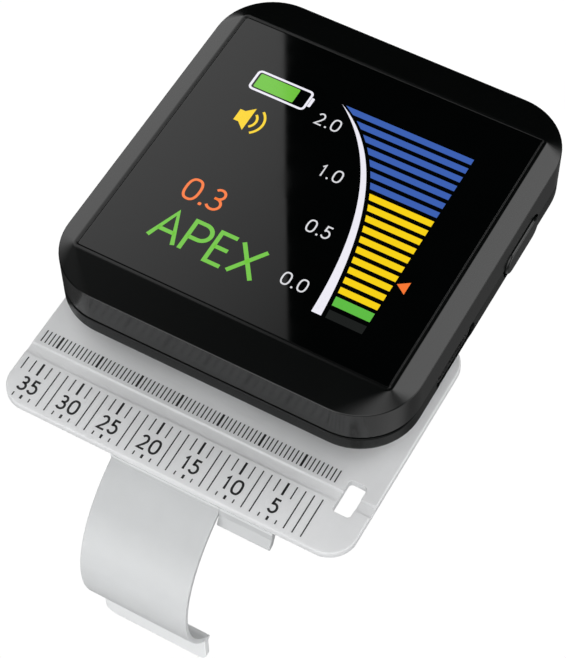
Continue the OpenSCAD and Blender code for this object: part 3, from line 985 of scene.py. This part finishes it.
def build_button():
    """Pill-shaped side button with a softly crowned face, its flange and its stem."""
    bm = bmesh.new()
    flange_x = CASE_W / 2 - WALL - 0.05
    crown_x = BUTTON_HIGH.x - CROWN_D
    cap = stadium(BUTTON_L - 0.2, BUTTON_H - 0.3, BUTTON_Y, BUTTON_Z)
    loops = [[bm.verts.new((x, y, z)) for y, z in cap] for x in (flange_x - 0.1, crown_x)]
    for k in range(1, CROWN_STEPS + 1):
        a = math.pi / 2 * k / CROWN_STEPS
        section = shrunk(cap, CROWN_INSET * (1 - math.cos(a)))
        loops.append([bm.verts.new((crown_x + CROWN_D * math.sin(a), y, z)) for y, z in section])
    bridge(bm, loops)
    flange = rounded_rect(BUTTON_HIGH.y - BUTTON_LOW.y, BUTTON_H, 0.3, BUTTON_Y, BUTTON_Z, 3)
    add_prism(bm, flange, flange_x - FLANGE_T, flange_x, on_yz, soft=0.08, steps=2)
    stem = disc(BUTTON_Y, BUTTON_Z, STEM_R, 24)
    add_prism(bm, stem, BUTTON_LOW.x, flange_x - FLANGE_T / 2, on_yz, soft=0.1, steps=2)
    button = finish_mesh(bm, "side_button_cap")
    keep_flats(button)
    place(button, "button_satin", "button", "button_plastic", "side_button")


# ---------- display marks ----------

LIT_LOW, LIT_TOP = GLASS_TOP - 0.01, TOP
BAR_RIGHT = 13.03
BAR_FIRST, BAR_PITCH, BAR_H = 37.35, 4 / 3, 0.78
BAR_COUNT, BARS_FAR = 17, 7     # all striped bars, and how many of them are blue
BAR_GAP = 0.5                   # between the white curve and the bars
CURVE_TIP = (-3.0, 37.33)
CURVE_FOOT_Y = 11.93
LINE = 0.28                     # width of the icons' lines
LABEL_H, LABEL_STROKE = 1.7, 0.18
SOUND_X, SOUND_Y = -11.2, 30.6  # centre of the sound icon's waves
BATTERY_Y = 35.85


def bezier(p0, p1, p2, steps=40):
    """Points of a quadratic curve from p0 to p2, drawn towards p1."""
    points = []
    for i in range(steps + 1):
        t = i / steps
        p = Vector(p0).lerp(Vector(p1), t).lerp(Vector(p1).lerp(Vector(p2), t), t)
        points.append((p.x, p.y))
    return points


CURVE_LEFT = bezier(CURVE_TIP, (6.64, 30.35), (7.17, CURVE_FOOT_Y))
CURVE_RIGHT = bezier(CURVE_TIP, (6.80, 31.97), (8.3, CURVE_FOOT_Y))


def curve_x(y):
    """x of the white curve's right edge at a height on the display."""
    for (x0, y0), (x1, y1) in zip(CURVE_RIGHT, CURVE_RIGHT[1:]):
        if y0 >= y >= y1:
            return x0 + (x1 - x0) * (y0 - y) / (y0 - y1)
    return CURVE_RIGHT[0][0] if y > CURVE_RIGHT[0][1] else CURVE_RIGHT[-1][0]


def mark(name, finish, outlines=(), strokes=()):
    """A lit piece on the glass from filled outlines and (points, width, closed) strokes."""
    bm = bmesh.new()
    for outline in outlines:
        add_prism(bm, outline, LIT_LOW, LIT_TOP)
    for points, width, closed in strokes:
        add_stroke(bm, points, width, LIT_LOW, LIT_TOP, closed)
    place(finish_mesh(bm, name), finish, "case", "display_glass")


def words(name, finish, lines, stroke, gap=SIGN_GAP):
    """A lit piece from (text, x, y, height) lines."""
    bm = bmesh.new()
    for text, x, y, h in lines:
        add_line(bm, text, x, y, h, stroke, LIT_LOW, LIT_TOP, gap)
    place(finish_mesh(bm, name), finish, "case", "display_glass")


def bar(top, height):
    """Outline of a bar that starts beside the curve and ends at the right margin."""
    bottom = top - height
    return [(curve_x(bottom) + BAR_GAP, bottom), (BAR_RIGHT, bottom),
            (BAR_RIGHT, top), (curve_x(top) + BAR_GAP, top)]


def build_scale():
    """White curve, the bars beside it and the pointer."""
    mark("lit_curve", "lit_white", [CURVE_LEFT + list(reversed(CURVE_RIGHT[1:]))])
    tops = [BAR_FIRST - BAR_PITCH * i for i in range(BAR_COUNT)]
    mark("lit_bars_far", "lit_blue", [bar(t, BAR_H) for t in tops[:BARS_FAR]])
    mark("lit_bars_near", "lit_yellow", [bar(t, BAR_H) for t in tops[BARS_FAR:]])
    mark("lit_bar_apex", "lit_lime", [bar(14.75, 1.17)])
    mark("lit_bar_over", "lit_dark", [bar(13.0, 1.07)])
    mark("lit_pointer", "lit_orange", [[(13.3, 19.1), (14.5, 18.27), (14.5, 19.93)]])


def build_icons():
    """Battery and sound icons."""
    battery = rounded_rect(7.0, 2.9, 0.55, -9.8, BATTERY_Y, 6)
    pole = filleted([(-6.25, 35.2, 0), (-5.9, 35.2, 0.15), (-5.9, 36.5, 0.15), (-6.25, 36.5, 0)], 3)
    mark("lit_battery_case", "lit_white", [pole], [(shrunk(battery, 0.135), 0.27, True)])
    mark("lit_battery_charge", "lit_green", [rounded_rect(4.9, 2.0, 0.15, -10.35, 35.87, 3)])
    cone = [(-12.37, 29.8), (-11.75, 29.8), (-10.83, 28.95), (-10.83, 32.25), (-11.75, 31.4),
            (-12.37, 31.4)]
    waves = [(arc(SOUND_X, SOUND_Y, 1.2, 1.2, -50, 50, 12), LINE, False),
             (arc(SOUND_X, SOUND_Y, 2.05, 2.05, -52, 52, 16), LINE, False)]
    mark("lit_sound", "lit_yellow", [cone], waves)


def build_words():
    """Labels beside the curve, the reading and the word under it."""
    labels = [("2.0", -4.53, 33.5), ("1.0", -0.9, 27.5), ("0.5", 1.47, 20.5), ("0.0", 2.43, 13.4)]
    words("lit_labels", "lit_label", [(text, x, y, LABEL_H) for text, x, y in labels], LABEL_STROKE,
          0.16)
    words("lit_reading", "lit_orange", [("0.3", -12.3, 18.0, 3.0)], 0.3, 0.11)
    words("lit_word", "lit_green", [("APEX", -12.8, 11.93, 4.44)], 0.48, 0.07)


# ---------- stage ----------

AZIMUTH, ELEVATION, ROLL = 30.459, 56.677, -1.339       # degrees
DISTANCE = 0.21824                                      # metres
LOOK_AT = Vector((0.005577, 0.008881, 0.026))           # metres
LENS, SENSOR = 117.27, 36.0                             # millimetres on the film
NEAR_CLIP = 0.005                                       # metres
FLOOR_DROP = 0.45                                       # metres from the row's origin to the floor
SWEEP_R, DOME_R = 0.5, 2.0                              # metres
FLOOR_TURNS = 48


def build_camera():
    """Camera that looks down at the display from the front right."""
    a, e = math.radians(AZIMUTH), math.radians(ELEVATION)
    back = Vector((math.sin(a) * math.cos(e), -math.cos(a) * math.cos(e), math.sin(e)))
    data = bpy.data.cameras.new("camera")
    data.lens, data.sensor_width = LENS, SENSOR
    data.clip_start = NEAR_CLIP
    camera = bpy.data.objects.new("camera", data)
    camera.rotation_mode = "QUATERNION"
    camera.rotation_quaternion = ((-back).to_track_quat("-Z", "Y")
                                  @ Quaternion((0, 0, 1), math.radians(ROLL)))
    camera.location = LOOK_AT + back * DISTANCE
    bpy.context.scene.collection.objects.link(camera)
    bpy.context.scene.camera = camera


def build_floor():
    """Plain pale floor that sweeps up into a closed dome. Only the camera sees it."""
    sweep = arc(DOME_R - SWEEP_R, SWEEP_R, SWEEP_R, SWEEP_R, -90, 0, 12)
    dome = arc(0, SWEEP_R, DOME_R, DOME_R, 0, 85, 14)
    bm = bmesh.new()
    angles = [2 * math.pi * i / FLOOR_TURNS for i in range(FLOOR_TURNS)]
    loops = []
    for r, z in sweep + dome[1:]:
        loops.append([bm.verts.new((r * math.cos(a), r * math.sin(a), z - FLOOR_DROP)) for a in angles])
    for a, b in zip(loops, loops[1:]):
        for i in range(FLOOR_TURNS):
            j = (i + 1) % FLOOR_TURNS
            bm.faces.new((a[i], b[i], b[j], a[j]))
    bm.faces.new(loops[0])
    bm.faces.new(list(reversed(loops[-1])))
    mesh = bpy.data.meshes.new("studio_floor")
    bm.to_mesh(mesh)
    bm.free()
    mesh.shade_smooth()
    floor = bpy.data.objects.new("studio_floor", mesh)
    bpy.context.scene.collection.objects.link(floor)
    n = Nodes("studio_white")
    n.put(Base_Color=(0, 0, 0, 1), Roughness=1.0, Specular_IOR_Level=0.0)
    n.put(Emission_Color=(1, 1, 1, 1), Emission_Strength=1.02)
    floor.data.materials.append(n.material)
    floor.visible_diffuse = False
    floor.visible_glossy = False
    floor.visible_transmission = False
    floor.visible_shadow = False


class Sky:
    """The studio's soft boxes, as patches of light on the world's sphere."""

    def __init__(self, base):
        world = bpy.data.worlds.new("studio")
        bpy.context.scene.world = world
        world.use_nodes = True
        self.tree = world.node_tree
        self.background = self.tree.nodes["Background"]
        self.background.inputs["Color"].default_value = (1, 1, 1, 1)
        self.towards = self.tree.nodes.new("ShaderNodeTexCoord").outputs["Generated"]
        start = self.tree.nodes.new("ShaderNodeValue")
        start.outputs[0].default_value = base
        self.total = start.outputs[0]

    def facing(self, axis):
        """Cosine of the angle to an axis."""
        node = self.tree.nodes.new("ShaderNodeVectorMath")
        node.operation = "DOT_PRODUCT"
        node.inputs[1].default_value = Vector(axis).normalized()
        self.tree.links.new(self.towards, node.inputs[0])
        return node.outputs["Value"]

    def ramp(self, source, start, end):
        """0 before start and 1 after end, smooth between."""
        node = self.tree.nodes.new("ShaderNodeMapRange")
        node.interpolation_type = "SMOOTHSTEP"
        node.inputs["From Min"].default_value = min(start, end)
        node.inputs["From Max"].default_value = max(start, end)
        node.inputs["To Min"].default_value = 0.0 if start < end else 1.0
        node.inputs["To Max"].default_value = 1.0 if start < end else 0.0
        self.tree.links.new(source, node.inputs["Value"])
        return node.outputs["Result"]

    def maths(self, operation, a, b):
        """Result of an operation on two outputs or numbers."""
        node = self.tree.nodes.new("ShaderNodeMath")
        node.operation = operation
        for socket, value in zip(node.inputs, (a, b)):
            if isinstance(value, (int, float)):
                socket.default_value = value
            else:
                self.tree.links.new(value, socket)
        return node.outputs[0]

    def patch(self, axis, full, fade, radiance, limits=()):
        """Round patch: full out to one angle, nothing past the next. limits are (axis, start, end)."""
        shape = self.ramp(self.facing(axis), math.cos(math.radians(fade)), math.cos(math.radians(full)))
        for limit_axis, start, end in limits:
            edge = self.ramp(self.facing(limit_axis), start, end)
            shape = self.maths("MULTIPLY", shape, edge)
        self.total = self.maths("ADD", self.total, self.maths("MULTIPLY", shape, radiance))

    def finish(self):
        """Lights the world with the sum of the patches."""
        self.tree.links.new(self.total, self.background.inputs["Strength"])


CARD_EDGE = (0.8685, 0.4956, 0.0061)    # normal of the upright edge that the glass mirrors
SHARP_STOP = (CARD_EDGE, 0.0008, -0.0008)
REAR_STOP = ((0, 1, 0), 0.74, 0.60)     # keeps the left rear light off the back slope
FRONT_STOP = ((0, 1, 0), 0.30, 0.20)    # keeps the faint left light off the glass


def build_light():
    """World light from soft patches, and the plain view transform."""
    sky = Sky(0.01)
    # front softbox behind the camera
    sky.patch((0.2, -0.70, 0.68), 18, 58, 1.3)
    # soft overhead light
    sky.patch((0.35, -0.45, 0.82), 12, 40, 0.6)
    # low front softbox, for the band's broad highlight and the plate's front edge
    sky.patch((-0.28, -0.93, -0.16), 8, 24, 3.4)
    # low fill from the front and below
    sky.patch((0.05, -0.75, -0.66), 20, 80, 0.20)
    # low fill from the right, which the front right corner mirrors
    sky.patch((0.46, -0.26, -0.85), 10, 32, 0.35)
    # low fill from the rear, which the right wall mirrors
    sky.patch((0.25, 0.45, -0.85), 25, 50, 0.10)
    # soft light from the right, for the upright end faces of the band and plate
    sky.patch((0.88, 0.30, -0.16), 12, 34, 1.5)
    # faint light on the left, which the front slope's left end mirrors
    sky.patch((-0.56, 0.10, 0.82), 4, 18, 0.25, [FRONT_STOP])
    # right rear softbox, for the right slope
    sky.patch((0.56, 0.50, 0.66), 10, 26, 2.8)
    # left rear card with one crisp edge, for the glass and the left slope
    sky.patch((-0.66, 0.50, 0.50), 18, 36, 1.5, [SHARP_STOP, REAR_STOP])
    sky.patch((-0.84, 0.48, 0.28), 8, 26, 0.35, [REAR_STOP])
    sky.finish()
    bpy.context.scene.view_settings.view_transform = "Standard"


# ---------- whole scene ----------

make_materials()
dress_frame()
build_band()
build_plate()
build_ruler_print()
build_bezel()
build_cover()
build_glass()
build_button()
build_scale()
build_icons()
build_words()
build_floor()
build_camera()
build_light()
